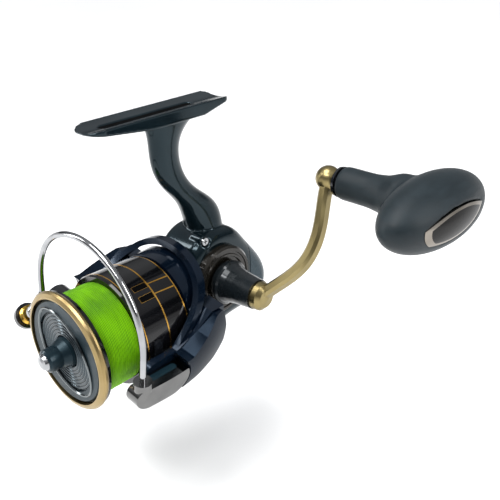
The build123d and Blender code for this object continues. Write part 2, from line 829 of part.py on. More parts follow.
with BuildPart() as spool_seat:
    shaft_ring(14.7, 16.6, 4.0, SHAFT_R)
save(spool_seat, "spool_seat")

# ---------------------------------------------------------------------------
# Spool, line and drag stack
# ---------------------------------------------------------------------------
ARBOR_R = 15.2
STACK_R = 13.4
LINE_START = 3.6
LINE_END = 19.6
SKIRT_IN = 23.0

with BuildPart() as spool:
    shaft_turned(
        [
            (9.0, SHAFT_R + FIT),
            (9.0, 5.0),
            (12.0, 5.0),
            (12.0, STACK_R),
            (2.4, STACK_R),
            (2.4, 22.6),
            (1.5, 22.6),
            (1.5, 24.7),
            (2.9, 24.7),
            (LINE_START, 23.6),
            (LINE_START, ARBOR_R),
            (LINE_END, ARBOR_R),
            (LINE_END, 24.0),
            (20.6, SKIRT_R),
            (43.0, SKIRT_R - 0.3),
            (SKIRT_END, SKIRT_R - 0.5),
            (SKIRT_END, SKIRT_IN),
            (22.2, SKIRT_IN),
            (22.2, 12.4),
            (14.6, 12.4),
            (14.6, SHAFT_R + FIT),
        ]
    )
save(spool, "spool")

with BuildPart() as lip_ring:
    shaft_turned(
        [
            (-1.5, 22.8),
            (-1.5, 23.4),
            (-0.9, 24.9),
            (0.0, LIP_R),
            (0.8, LIP_R),
            (1.5, 25.0),
            (1.5, 22.8),
        ]
    )
save(lip_ring, "lip_ring")

CLIP_Y = 26.0               # line clip on the skirt
CLIP_TURN = -4.0
with BuildPart() as line_clip:
    clip_way = Vector(cos(radians(CLIP_TURN)), 0, sin(radians(CLIP_TURN)))
    clip_foot = at(0, CLIP_Y, 0) + clip_way * (SKIRT_R - 0.8)
    clip_plane = Plane(origin=clip_foot, x_dir=(0, 1, 0), z_dir=clip_way)
    with BuildSketch(clip_plane) as clip_face:
        RectangleRounded(3.6, 9.0, 1.2)
    extrude(clip_face.sketch, amount=1.9)
    shaft_ring(LINE_END, SKIRT_END, SKIRT_R + 0.02, mode=Mode.SUBTRACT)
save(line_clip, "line_clip")

with BuildPart() as line:
    shaft_turned(
        [
            (LINE_START, ARBOR_R),
            (LINE_START, LINE_R),
            (LINE_END, LINE_R - 0.2),
            (LINE_END, ARBOR_R),
        ]
    )
save(line, "line")

with BuildPart() as drag_washers:
    for washer in range(3):
        start = 8.2 + 1.3 * washer
        shaft_ring(start, start + 0.6, 12.8, 5.3)
save(drag_washers, "drag_washers")

with BuildPart() as drag_discs:
    for washer in range(2):
        start = 8.85 + 1.3 * washer
        shaft_ring(start, start + 0.6, 12.6, 5.3)
save(drag_discs, "drag_discs")

with BuildPart() as drag_retainer:
    shaft_ring(7.3, 7.9, STACK_R, STACK_R - 1.1)
save(drag_retainer, "drag_retainer")

with BuildPart() as click_ring:
    shaft_ring(14.6, 16.0, 12.4, 10.4)
    with BuildSketch(across(16.5)) as notches:
        with PolarLocations(10.4, 24):
            Circle(0.7)
    extrude(notches.sketch, amount=2.5, mode=Mode.SUBTRACT)
save(click_ring, "click_ring")

# ---------------------------------------------------------------------------
# Drag knob
# ---------------------------------------------------------------------------
KNOB_R = 22.15
BAR_TURN = -49.6            # direction of the knob's grip bar, from +X
BAR_HALF = 20.6
BAR_WIDTH = 9.9
BAR_WALL = 2.1
RIM_IN = 17.2               # inside of the knob's raised rim

with BuildPart() as drag_knob:
    shaft_turned(
        [
            (-0.9, RIM_IN),
            (-0.9, 21.4),
            (-0.2, KNOB_R),
            (1.7, KNOB_R),
            (2.1, 21.8),
            (2.1, 12.9),
            (3.4, 12.9),
            (3.4, 6.0),
            (6.8, 6.0),
            (6.8, SHAFT_R + FIT),
            (-1.5, SHAFT_R + FIT),
            (-1.5, 6.3),
            (0.2, 6.6),
            (0.9, 7.2),
            (0.9, RIM_IN),
        ]
    )
save(drag_knob, "drag_knob")


BAR_PLANE = Plane(
    origin=at(0, 0.9, 0),
    x_dir=(cos(radians(BAR_TURN)), 0, sin(radians(BAR_TURN))),
    z_dir=(0, -1, 0),
)

with BuildPart() as drag_bar:
    with BuildSketch(BAR_PLANE):
        with BuildLine():
            upper = ThreePointArc((-BAR_HALF, 0), (0, BAR_WIDTH), (BAR_HALF, 0))
            ThreePointArc(upper @ 1, (0, -BAR_WIDTH), upper @ 0)
        make_face()
        offset(amount=-BAR_WALL, mode=Mode.SUBTRACT)
    extrude(amount=8.0)
    with BuildPart(mode=Mode.PRIVATE) as bar_limit:
        shaft_turned(
            [
                (0.9, 0),
                (0.9, RIM_IN),
                (-0.9, RIM_IN),
                (-0.9, 19.6),
                (-1.8, 19.6),
                (-3.2, 12.0),
                (-3.8, 0),
            ]
        )
    add(bar_limit.part, mode=Mode.INTERSECT)
save(drag_bar, "drag_bar")

with BuildPart() as drag_post:
    shaft_turned(
        [
            (-1.5, SHAFT_R + FIT),
            (-1.5, 6.2),
            (-4.6, 4.9),
            (-9.4, 4.7),
            (-10.2, 3.9),
            (-10.2, 0),
            (-9.0, 0),
            (-9.0, SHAFT_R + FIT),
        ]
    )
save(drag_post, "drag_post")

with BuildPart() as knob_tip:
    shaft_turned([(-10.2, 0), (-10.2, 3.4), (-11.4, 2.9), (-12.0, 1.6), (-12.2, 0)])
save(knob_tip, "knob_tip")

# ---------------------------------------------------------------------------
# Drive gear, handle and oscillation gear
# ---------------------------------------------------------------------------
GEAR_R = 14.1
TOOTH_IN = 10.9
TOOTH_DEEP = 0.85
SLOT_HALF = 0.62
TRANSFER_TEETH = 12
OSC_TEETH = 24
MODULE = 0.7
OSC_SIDE = degrees(atan2(OSC_Z - CRANK_Z, OSC_Y - CRANK_Y))


def mesh_trace(offset_side):
    """The edge of one tooth gap, which crosses the pinion line at a steady speed."""
    points = []
    for step in range(5):
        back = -13.0 + step * 1.5
        turn = -(back + MESH_BACK) / MESH_SPEED
        y = back * cos(turn) + CRANK_Z * sin(turn)
        z = back * sin(turn) - CRANK_Z * cos(turn)
        run_y = MESH_SPEED - CRANK_Z
        run_z = -back
        length = hypot(run_y, run_z)
        normal = (-run_z / length * offset_side, run_y / length * offset_side)
        points.append(
            (
                y + normal[0] * cos(turn) - normal[1] * sin(turn),
                z + normal[0] * sin(turn) + normal[1] * cos(turn),
            )
        )
    return points


with BuildPart() as drive_gear:
    crank_ring(TOOTH_FACE + TOOTH_DEEP, 8.2, GEAR_R, SHAFT_RIGHT)
    crank_ring(TOOTH_FACE, TOOTH_FACE + TOOTH_DEEP, GEAR_R, TOOTH_IN)
    crank_ring(8.2, 10.0, 6.0, SHAFT_RIGHT)
    with BuildSketch(crank_face(TOOTH_FACE)) as gaps:
        with BuildSketch(mode=Mode.PRIVATE) as gap:
            with BuildLine():
                first = Spline(*mesh_trace(SLOT_HALF))
                second = Spline(*mesh_trace(-SLOT_HALF))
                Line(first @ 0, second @ 0)
                Line(first @ 1, second @ 1)
            make_face()
        with PolarLocations(0, DRIVE_TEETH):
            add(gap.sketch)
    extrude(gaps.sketch, amount=TOOTH_DEEP - 0.2, mode=Mode.SUBTRACT)
save(drive_gear, "drive_gear")

COLLAR_START = COVER_FACE + 0.34
COLLAR_END = 35.35
with BuildPart() as gear_shaft:
    crank_ring(-12.9, -5.8, SHAFT_LEFT)
    crank_ring(-5.8, 5.2, SHAFT_MIDDLE)
    crank_ring(5.2, 20.2, SHAFT_RIGHT)
save(gear_shaft, "gear_shaft")

with BuildPart() as transfer_gear:
    # Thinner than the gear it drives, so that the crank pin passes beside it
    plate(crank_face(-8.2), gear_outline(TRANSFER_TEETH, MODULE, OSC_SIDE), 1.5)
    crank_ring(-9.0, -5.0, SHAFT_LEFT, mode=Mode.SUBTRACT)
save(transfer_gear, "transfer_gear")

with BuildPart() as oscillation_gear:
    plate(osc_face(-8.2), gear_outline(OSC_TEETH, MODULE, OSC_SIDE + 180 / OSC_TEETH), 2.0)
    disc(osc_face(-9.0), 4.0, STUD_R + FIT, mode=Mode.SUBTRACT)
    pin = Plane(origin=at(-6.4, OSC_Y + STROKE / 2, OSC_Z), x_dir=(0, 1, 0), z_dir=(1, 0, 0))
    disc(pin, 0.9, 1.9)
    disc(pin, 2.9, 1.2)
save(oscillation_gear, "oscillation_gear")

with BuildPart() as handle_collar:
    crank_turned(
        [
            (COLLAR_START, SHAFT_RIGHT),
            (COLLAR_START, 9.4),
            (18.2, 9.9),
            (19.4, 9.9),
            (20.2, 9.1),
            (22.5, 8.2),
            (26.0, 7.5),
            (COLLAR_END, 6.64),
            (COLLAR_END, 0),
            (20.2, 0),
            (20.2, SHAFT_RIGHT),
        ]
    )
save(handle_collar, "handle_collar")

ARM_PLANE = Plane(
    origin=at(0, CRANK_Y, CRANK_Z),
    x_dir=(0, cos(radians(CRANK_LEAN)), sin(radians(CRANK_LEAN))),
    z_dir=(0, sin(radians(CRANK_LEAN)), -cos(radians(CRANK_LEAN))),
)
ARM_THICK = 4.8
ARM_BROAD = 5.8
ARM_EDGE = 1.2
BALL_X = 47.93
BALL_R = 5.4

ARM_PATH = (
    (0.5, 37.8),
    (8.6, 44.6),
    (19.5, 51.8),
    (31.3, 53.3),
    (46.9, 49.8),
    (CRANK_REACH - 1, BALL_X + 0.2),
)

with BuildPart() as handle_arm:
    with BuildLine(ARM_PLANE) as arm_line:
        Spline(*ARM_PATH)
    arm_start = arm_line.line @ 0
    arm_way = arm_line.line % 0
    with BuildSketch(Plane(origin=arm_start, x_dir=ARM_PLANE.z_dir, z_dir=arm_way)):
        with BuildLine():
            Polyline(
                (-ARM_BROAD / 2, -ARM_THICK / 2 + ARM_EDGE),
                (-ARM_BROAD / 2 + ARM_EDGE, -ARM_THICK / 2),
                (ARM_BROAD / 2 - ARM_EDGE, -ARM_THICK / 2),
                (ARM_BROAD / 2, -ARM_THICK / 2 + ARM_EDGE),
                (ARM_BROAD / 2, ARM_THICK / 2 - ARM_EDGE),
                (ARM_BROAD / 2 - ARM_EDGE, ARM_THICK / 2),
                (-ARM_BROAD / 2 + ARM_EDGE, ARM_THICK / 2),
                (-ARM_BROAD / 2, ARM_THICK / 2 - ARM_EDGE),
                close=True,
            )
        make_face()
    sweep(path=arm_line.line)
    crank_turned(
        [(COLLAR_END, 0), (COLLAR_END, 5.9), (36.4, 6.3), (38.8, 6.0), (40.6, 4.2), (41.2, 0)]
    )
    with Locations(at(BALL_X, GRIP_Y, GRIP_Z)):
        Sphere(BALL_R, rotation=(0, 90, 0))
    disc(grip_face(BALL_X), 8.0, 2.6, mode=Mode.SUBTRACT)
save(handle_arm, "handle_arm")

# ---------------------------------------------------------------------------
# Grip
# ---------------------------------------------------------------------------
POST_R = 2.0
NECK_R = 6.94
NECK_START = 55.2
BAR_X = 96.5                # middle of the grip's bar
BAR_Z = -0.8
BAR_AXES = (14.0, 31.5, 14.2)
BAR_LEAN = -1.0
PLATE_X = 106.5             # floor of the pocket for the end plate
PLATE_LEAN = 6.0
PLATE_LONG = 22.0
PLATE_WIDE = 5.6
NUT_R = 3.4

with BuildPart() as knob_post:
    disc(grip_face(BALL_X), 5.4, 2.6)
    disc(grip_face(BALL_X + 5.4), 46.0, POST_R)
save(knob_post, "knob_post")

with BuildPart() as post_collar:
    grip_turned([(52.8, 2.7), (52.8, 4.6), (53.6, 6.2), (54.8, 6.4), (54.8, 2.7)])
save(post_collar, "post_collar")

# The rounded bar of the grip
BAR_EGG = Pos(*at(BAR_X, GRIP_Y, GRIP_Z + BAR_Z)) * Rot(BAR_LEAN, 0, 0) * scale(
    Sphere(1), by=BAR_AXES
)


def leaf(edge):
    """The leaf-shaped outline of the end plate, made wider by an edge."""
    lean = radians(PLATE_LEAN)
    plane = Plane(
        origin=at(PLATE_X, GRIP_Y - 7.0, GRIP_Z + BAR_Z),
        x_dir=(0, cos(lean), sin(lean)),
        z_dir=(1, 0, 0),
    )
    with BuildSketch(plane) as face:
        with BuildLine():
            tip = PLATE_LONG + edge
            upper = ThreePointArc((-tip, 0), (0, PLATE_WIDE + edge), (tip, 0))
            ThreePointArc(upper @ 1, (0, -PLATE_WIDE - edge), upper @ 0)
        make_face()
    return face.sketch


with BuildPart() as grip:
    grip_turned(
        [
            (NECK_START, 0),
            (NECK_START, NECK_R - 0.5),
            (NECK_START + 1.2, NECK_R),
            (70.0, NECK_R),
            (76.0, NECK_R + 0.8),
            (82.0, NECK_R + 3.2),
            (88.0, NECK_R + 3.2),
            (88.0, 0),
        ]
    )
    add(BAR_EGG)
    disc(grip_face(NECK_START - 1), 47.0, POST_R + GAP, mode=Mode.SUBTRACT)
    disc(grip_face(NECK_START), 3.2, 4.2, mode=Mode.SUBTRACT)
    disc(grip_face(90.0), PLATE_X - 90.0, 4.2, mode=Mode.SUBTRACT)
    extrude(leaf(0.1), amount=9.0, mode=Mode.SUBTRACT)
save(grip, "grip")

with BuildPart() as grip_plate:
    extrude(leaf(0), amount=9.0)
    add(BAR_EGG, mode=Mode.INTERSECT)
save(grip_plate, "grip_plate")

with BuildPart() as post_nut:
    with BuildSketch(grip_face(97.2)) as nut_face:
        RegularPolygon(NUT_R, 6)
        Circle(POST_R, mode=Mode.SUBTRACT)
    extrude(nut_face.sketch, amount=1.8)
save(post_nut, "post_nut")

with BuildPart() as grip_bearings:
    bearing(grip_face(NECK_START + 0.1), 3.0, 4.2, POST_R + FIT)
    bearing(grip_face(90.0), 3.0, 4.2, POST_R + FIT)
save(grip_bearings, "grip_bearings")
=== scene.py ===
import json
from math import cos, pi, radians, sin

import bmesh
import bpy
from mathutils import Matrix, Vector
from mathutils.bvhtree import BVHTree


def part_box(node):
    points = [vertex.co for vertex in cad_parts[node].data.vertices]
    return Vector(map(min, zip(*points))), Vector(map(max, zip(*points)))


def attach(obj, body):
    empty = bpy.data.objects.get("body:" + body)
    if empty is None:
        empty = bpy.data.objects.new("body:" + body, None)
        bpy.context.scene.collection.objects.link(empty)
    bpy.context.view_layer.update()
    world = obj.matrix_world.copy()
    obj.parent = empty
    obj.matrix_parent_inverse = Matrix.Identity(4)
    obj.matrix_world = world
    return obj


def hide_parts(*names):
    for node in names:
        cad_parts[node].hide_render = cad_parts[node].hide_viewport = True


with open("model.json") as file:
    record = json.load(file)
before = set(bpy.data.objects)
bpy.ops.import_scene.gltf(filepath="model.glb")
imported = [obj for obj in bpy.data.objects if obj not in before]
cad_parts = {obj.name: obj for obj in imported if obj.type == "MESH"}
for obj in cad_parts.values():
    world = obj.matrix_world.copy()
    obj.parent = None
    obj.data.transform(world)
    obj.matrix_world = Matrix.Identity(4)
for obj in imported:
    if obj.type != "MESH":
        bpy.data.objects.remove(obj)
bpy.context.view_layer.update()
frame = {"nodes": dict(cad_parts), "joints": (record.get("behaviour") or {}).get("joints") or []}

NODES = frame["nodes"]
MM = 0.001
X = Vector((1, 0, 0))
Y = Vector((0, 1, 0))
Z = Vector((0, 0, 1))

# ---------------------------------------------------------------------------
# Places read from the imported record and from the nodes' boxes
# ---------------------------------------------------------------------------
JOINTS = {joint["name"]: joint for joint in frame["joints"]}
SHAFT_AT = Vector(JOINTS["rotor_spin"]["pos_m"])
CRANK_AT = Vector(JOINTS["handle_turn"]["pos_m"])
GRIP_AT = Vector(JOINTS["grip_spin"]["pos_m"])
LIP_FRONT = 1.5             # mm from the front of the lip ring to the lip itself
LIP_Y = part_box("lip_ring")[0].y + LIP_FRONT * MM


def at(x, y, z):
    """A point in mm from the shaft line at the spool's lip, in metres."""
    return Vector((x * MM, LIP_Y + y * MM, SHAFT_AT.z + z * MM))


def around(y, radius, turn):
    """A point in metres, y mm behind the lip and radius mm from the shaft line."""
    return at(radius * cos(turn), y, radius * sin(turn))


# ---------------------------------------------------------------------------
# Materials
# ---------------------------------------------------------------------------


def new_material(name):
    mat = bpy.data.materials.new(name)
    mat.use_nodes = True
    tree = mat.node_tree
    return mat, tree, tree.nodes["Principled BSDF"]


def node(tree, kind, **values):
    made = tree.nodes.new(kind)
    for key, value in values.items():
        if key in made.inputs:
            made.inputs[key].default_value = value
        else:
            setattr(made, key, value)
    return made


def noise(tree, scale, detail=4.0, rough=0.55, stretch=None):
    """A noise value in object space; stretch scales the three axes."""
    coords = node(tree, "ShaderNodeTexCoord")
    tex = node(tree, "ShaderNodeTexNoise", Scale=scale, Detail=detail, Roughness=rough)
    if stretch:
        mapping = node(tree, "ShaderNodeMapping")
        mapping.inputs["Scale"].default_value = stretch
        tree.links.new(coords.outputs["Object"], mapping.inputs["Vector"])
        tree.links.new(mapping.outputs["Vector"], tex.inputs["Vector"])
    else:
        tree.links.new(coords.outputs["Object"], tex.inputs["Vector"])
    return tex.outputs["Fac"]


def ramp(tree, value, low, high, start=0.35, end=0.65):
    """A colour that goes from low to high as the value does."""
    made = node(tree, "ShaderNodeValToRGB")
    made.color_ramp.elements[0].position = start
    made.color_ramp.elements[0].color = (*low, 1)
    made.color_ramp.elements[1].position = end
    made.color_ramp.elements[1].color = (*high, 1)
    tree.links.new(value, made.inputs["Fac"])
    return made.outputs["Color"]


def spread(tree, value, low, high):
    """A number that goes from low to high as the value goes from 0 to 1."""
    made = node(tree, "ShaderNodeMapRange")
    made.inputs["From Min"].default_value = 0.3
    made.inputs["From Max"].default_value = 0.7
    made.inputs["To Min"].default_value = low
    made.inputs["To Max"].default_value = high
    tree.links.new(value, made.inputs["Value"])
    return made.outputs["Result"]


def bump(tree, shader, height, distance, strength=0.5):
    made = node(tree, "ShaderNodeBump", Distance=distance, Strength=strength)
    tree.links.new(height, made.inputs["Height"])
    tree.links.new(made.outputs["Normal"], shader.inputs["Normal"])


def paint(name, low, high, rough, coat=0.6, metal=0.0, tint=(1, 1, 1, 1), gloss=0.24):
    """Painted or anodised metal: a little colour drift, fine orange peel and a clear coat."""
    mat, tree, shader = new_material(name)
    tree.links.new(ramp(tree, noise(tree, 60.0), low, high), shader.inputs["Base Color"])
    tree.links.new(
        spread(tree, noise(tree, 180.0), rough * 0.85, rough * 1.2),
        shader.inputs["Roughness"],
    )
    shader.inputs["Metallic"].default_value = metal
    shader.inputs["Specular IOR Level"].default_value = gloss
    shader.inputs["Specular Tint"].default_value = tint
    shader.inputs["Coat Weight"].default_value = coat
    shader.inputs["Coat IOR"].default_value = 1.38
    shader.inputs["Coat Roughness"].default_value = 0.08
    bump(tree, shader, noise(tree, 900.0, 2.0), 0.00002, 0.25)
    return mat


def metal(name, low, high, rough, depth=0.000008):
    """Bare metal: drift in tone and a fine grain."""
    mat, tree, shader = new_material(name)
    fine = noise(tree, 4000.0, 3.0, 0.6)
    tree.links.new(ramp(tree, noise(tree, 90.0), low, high), shader.inputs["Base Color"])
    tree.links.new(spread(tree, fine, rough * 0.92, rough * 1.12), shader.inputs["Roughness"])
    shader.inputs["Metallic"].default_value = 1.0
    bump(tree, shader, fine, depth, 0.35)
    return mat


def rubber(name, low, high):
    """Moulded rubber: pebbled grain, faint scuffs and a slight sheen."""
    mat, tree, shader = new_material(name)
    scuff = noise(tree, 120.0, 6.0, 0.7, (1.0, 0.35, 1.6))
    tree.links.new(ramp(tree, scuff, low, high, 0.42, 0.72), shader.inputs["Base Color"])
    tree.links.new(spread(tree, scuff, 0.42, 0.62), shader.inputs["Roughness"])
    shader.inputs["Sheen Weight"].default_value = 0.03
    shader.inputs["Specular IOR Level"].default_value = 0.3
    bump(tree, shader, noise(tree, 2600.0, 3.0), 0.00006, 0.4)
    return mat


def felt(name, low, high):
    """Drag washers: matted fibres."""
    mat, tree, shader = new_material(name)
    tree.links.new(ramp(tree, noise(tree, 2500.0), low, high), shader.inputs["Base Color"])
    shader.inputs["Roughness"].default_value = 0.9
    bump(tree, shader, noise(tree, 3000.0), 0.0001, 0.6)
    return mat


STRAND_SCALE = 530.0        # one strand to about 0.6 mm


def braid(name, low, high):
    """Bright braided line: fine strands around the spool, lighter and darker in patches."""
    mat, tree, shader = new_material(name)
    coords = node(tree, "ShaderNodeTexCoord")
    wave = node(tree, "ShaderNodeTexWave", Scale=STRAND_SCALE, Distortion=5.0, Detail=3.0)
    wave.inputs["Detail Scale"].default_value = 0.12
    wave.wave_type = "BANDS"
    wave.bands_direction = "Y"
    tree.links.new(coords.outputs["Object"], wave.inputs["Vector"])
    patches = noise(tree, 1.0, 4.0, 0.7, (90.0, 700.0, 90.0))
    mixed = node(tree, "ShaderNodeMix")
    mixed.inputs["Factor"].default_value = 0.45
    tree.links.new(wave.outputs["Fac"], mixed.inputs[2])
    tree.links.new(patches, mixed.inputs[3])
    tree.links.new(
        ramp(tree, mixed.outputs[0], low, high, 0.30, 0.66),
        shader.inputs["Base Color"],
    )
    shader.inputs["Roughness"].default_value = 0.5
    shader.inputs["Specular IOR Level"].default_value = 0.1
    bump(tree, shader, mixed.outputs[0], 0.00012, 0.7)
    return mat


COOL = (0.55, 0.85, 1.0, 1)
BLUE = (0.45, 0.68, 1.0, 1)
FINE = 0.000003             # depth of the grain on polished metal

# Each finish has its darker and lighter colour and its roughness. After those, a paint has
# its coat and how metallic it is, and a metal has the depth of its grain.
MATERIALS = {
    "body": paint(
        "body_paint", (0.0018, 0.0045, 0.0065), (0.004, 0.009, 0.012), 0.16, 0.3, tint=COOL
    ),
    "rear": paint("rear_paint", (0.010, 0.022, 0.031), (0.016, 0.031, 0.042), 0.26, 0.3, tint=COOL),
    "cover": paint("cover_paint", (0.010, 0.009, 0.007), (0.020, 0.017, 0.013), 0.24, 0.6, 0.4),
    "rotor": paint(
        "rotor_paint", (0.0010, 0.0025, 0.006), (0.0022, 0.0055, 0.012), 0.11, 0.3, tint=BLUE
    ),
    "shell": paint(
        "arm_shell", (0.0010, 0.0025, 0.006), (0.0022, 0.0055, 0.011), 0.14, 0.0,
        tint=BLUE, gloss=0.13,
    ),
    "spool": paint("spool_black", (0.001, 0.001, 0.0012), (0.003, 0.003, 0.004), 0.10, 0.45),
    "lever": metal("lever_metal", (0.13, 0.13, 0.128), (0.17, 0.168, 0.165), 0.12, FINE),
    "inlay": paint("lever_inlay", (0.006, 0.020, 0.030), (0.012, 0.032, 0.044), 0.20, 0.5, 0.5),
    "chrome": metal("wire_chrome", (0.30, 0.305, 0.315), (0.38, 0.385, 0.395), 0.09, FINE),
    "steel": metal("plain_steel", (0.38, 0.39, 0.41), (0.50, 0.51, 0.53), 0.26),
    "alloy": metal("gear_alloy", (0.36, 0.36, 0.36), (0.48, 0.48, 0.48), 0.34),
    "brass": metal("pinion_brass", (0.58, 0.38, 0.12), (0.70, 0.49, 0.20), 0.28),
    "gold": metal("trim_gold", (0.50, 0.26, 0.04), (0.66, 0.38, 0.08), 0.24),
    "roller": metal("roller_gold", (0.55, 0.34, 0.05), (0.72, 0.47, 0.10), 0.14),
    "lip": metal("lip_gold", (0.27, 0.195, 0.085), (0.33, 0.245, 0.115), 0.31, FINE),
    "arm": metal("arm_gold", (0.24, 0.19, 0.085), (0.29, 0.235, 0.11), 0.30, FINE),
    "plastic": paint("black_plastic", (0.003, 0.0035, 0.005), (0.007, 0.008, 0.010), 0.16, 0.5),
    "felt": felt("drag_felt", (0.34, 0.32, 0.27), (0.48, 0.46, 0.40)),
    "knob": paint("knob_slate", (0.003, 0.0085, 0.012), (0.006, 0.014, 0.019), 0.36, 0.05, tint=COOL),
    "bar": metal("knob_edge", (0.11, 0.125, 0.13), (0.16, 0.175, 0.18), 0.14),
    "post": paint(
        "knob_post_slate", (0.003, 0.0075, 0.011), (0.006, 0.013, 0.018), 0.30, 0.1, tint=COOL
    ),
    "rings": metal("turned_rings", (0.030, 0.040, 0.046), (0.055, 0.068, 0.076), 0.20),
    "collar": paint("collar_grey", (0.006, 0.009, 0.011), (0.012, 0.016, 0.019), 0.24, 0.4, 0.3),
    "grip": rubber("grip_rubber", (0.0032, 0.0085, 0.0118), (0.0085, 0.0165, 0.0215)),
    "inlay_dark": metal("grip_inlay", (0.20, 0.18, 0.155), (0.27, 0.245, 0.215), 0.10),
    # painted shade: near-black with almost no reflection, for the skirt's slots and the foot's slot
    # floor
    "black": paint(
        "painted_shade_black", (0.0006, 0.0006, 0.0007), (0.0012, 0.0012, 0.0014), 0.6, 0.0, gloss=0.03
    ),
    "glass": paint("inset_black", (0.002, 0.002, 0.002), (0.006, 0.005, 0.004), 0.08, 0.1, gloss=0.16),
    "line": braid("line_green", (0.016, 0.085, 0.0002), (0.165, 0.44, 0.0006)),
}

LOOK = {
    "body_housing": "body", "rear_cover": "rear", "side_cover": "cover", "left_cap": "cover",
    "body_screws": "chrome", "drive_bearing_right": "steel", "drive_bearing_left": "steel",
    "pinion_bearing": "steel", "clutch_ring": "steel", "clutch_rollers": "steel",
    "clutch_cover": "plastic", "guide_rod": "steel", "oscillation_clip": "steel",
    "rotor": "rotor", "near_arm_cover": "shell", "far_arm_cover": "shell", "rotor_nut": "steel",
    "pinion_gear": "brass", "clutch_sleeve": "steel", "pivot_screws": "chrome",
    "bail_lever": "lever", "lever_plate": "inlay", "bail_wire": "chrome",
    "roller_arm": "plastic", "roller_screw": "chrome", "roller_bearing": "steel",
    "line_roller": "roller", "drive_gear": "alloy", "gear_shaft": "steel",
    "transfer_gear": "brass", "handle_collar": "collar", "handle_arm": "arm",
    "knob_post": "steel", "post_collar": "plastic", "post_nut": "steel",
    "oscillation_gear": "alloy", "grip": "grip", "grip_bearings": "steel",
    "grip_plate": "inlay_dark", "main_shaft": "steel", "slider": "alloy",
    "slider_screw": "steel", "spool_seat": "plastic", "spool": "spool", "lip_ring": "lip",
    "line": "line", "line_clip": "plastic", "drag_washers": "felt", "drag_discs": "steel",
    "drag_retainer": "steel", "click_ring": "plastic", "drag_knob": "knob",
    "drag_bar": "bar", "drag_post": "post", "knob_tip": "chrome",
}

for name, look in LOOK.items():
    NODES[name].data.materials.clear()
    NODES[name].data.materials.append(MATERIALS[look])


# ---------------------------------------------------------------------------
# Making pieces
# ---------------------------------------------------------------------------


def finish_piece(mesh, name, look, body, stands_for=()):
    """Puts a mesh in the scene with its material, on its body."""
    piece = bpy.data.objects.new(name, mesh)
    bpy.context.scene.collection.objects.link(piece)
    mesh.materials.clear()
    mesh.materials.append(MATERIALS[look])
    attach(piece, body)
    if stands_for:
        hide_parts(*stands_for)


def mesh_from(bm, name, sharp=35.0):
    """Turns a bmesh into a smooth-shaded mesh that keeps the edges sharper than an angle."""
    bmesh.ops.recalc_face_normals(bm, faces=bm.faces)
    mesh = bpy.data.meshes.new(name)
    bm.to_mesh(mesh)
    bm.free()
    mesh.polygons.foreach_set("use_smooth", [True] * len(mesh.polygons))
    mesh.set_sharp_from_angle(angle=radians(sharp))
    return mesh


def solid_mesh(name, verts, faces, sharp=35.0):
    """A mesh from points and faces, with its many-sided faces cut into triangles."""
    rough = bpy.data.meshes.new(name + "_rough")
    rough.from_pydata(verts, [], faces)
    bm = bmesh.new()
    bm.from_mesh(rough)
    bpy.data.meshes.remove(rough)
    bmesh.ops.triangulate(bm, faces=[face for face in bm.faces if len(face.verts) > 4])
    return mesh_from(bm, name, sharp)


def ring_mesh(name, sections, closed=True, sharp=35.0):
    """Skins a row of equal closed sections: round to the first one, or with capped ends."""
    rows = len(sections[0])
    count = len(sections)
    verts = [point for section in sections for point in section]
    faces = []
    for step in range(count if closed else count - 1):
        a = step * rows
        b = ((step + 1) % count) * rows
        for i in range(rows):
            j = (i + 1) % rows
            faces.append((a + i, a + j, b + j, b + i))
    if not closed:
        faces.append(tuple(range(rows)))
        faces.append(tuple(range(count * rows - 1, (count - 1) * rows - 1, -1)))
    return solid_mesh(name, verts, faces, sharp)


def lathe(name, profile, segments=160):
    """Turns a closed outline of (mm behind the lip, radius in mm) about the shaft line."""
    sections = []
    for step in range(segments):
        turn = -2 * pi * step / segments
        sections.append([around(y, radius, turn) for y, radius in profile])
    return ring_mesh(name, sections)


def thicken(bm, faces, drop):
    """Gives an open sheet of faces a thickness, by a copy of it moved along a vector."""
    shell = bmesh.ops.extrude_face_region(bm, geom=faces)
    for item in shell["geom"]:
        if isinstance(item, bmesh.types.BMVert):
            item.co += drop


def remeshed(node_name, voxel, rounds):
    """A copy of a CAD node's mesh, rebuilt as one even skin with softened joins."""
    copy = bpy.data.objects.new(node_name + "_copy", NODES[node_name].data.copy())
    bpy.context.scene.collection.objects.link(copy)
    skin = copy.modifiers.new("remesh", "REMESH")
    skin.mode = "VOXEL"
    skin.voxel_size = voxel * MM
    soft = copy.modifiers.new("smooth", "SMOOTH")
    soft.factor = 0.5
    soft.iterations = rounds
    graph = bpy.context.evaluated_depsgraph_get()
    mesh = bpy.data.meshes.new_from_object(copy.evaluated_get(graph))
    bpy.data.objects.remove(copy)
    mesh.polygons.foreach_set("use_smooth", [True] * len(mesh.polygons))
    return mesh


# ---------------------------------------------------------------------------
# Grip and housing: even skins of their CAD solids
# ---------------------------------------------------------------------------
grip_skin = remeshed("grip", 0.55, 40)
finish_piece(grip_skin, "grip_skin", "grip", "grip_body", ["grip"])
housing_skin = remeshed("body_housing", 0.4, 8)
finish_piece(housing_skin, "housing_skin", "body", "reel_body", ["body_housing"])

# ---------------------------------------------------------------------------
# Wound line: every turn is a ridge, laid at a slight slant
# ---------------------------------------------------------------------------
LINE_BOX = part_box("line")
LINE_START = (LINE_BOX[0].y - LIP_Y) / MM
LINE_END = (LINE_BOX[1].y - LIP_Y) / MM
LINE_R = (LINE_BOX[1].z - LINE_BOX[0].z) / MM / 2
LINE_DEEP = 0.30            # the grooves lie this far under the CAD surface, in mm
LINE_TAPER = 0.2            # the winding narrows by this much towards the back
RIDGE = 0.20
ARBOR_R = 15.3
TURNS = 27
TURN_ROWS = 6
LINE_STEPS = 192


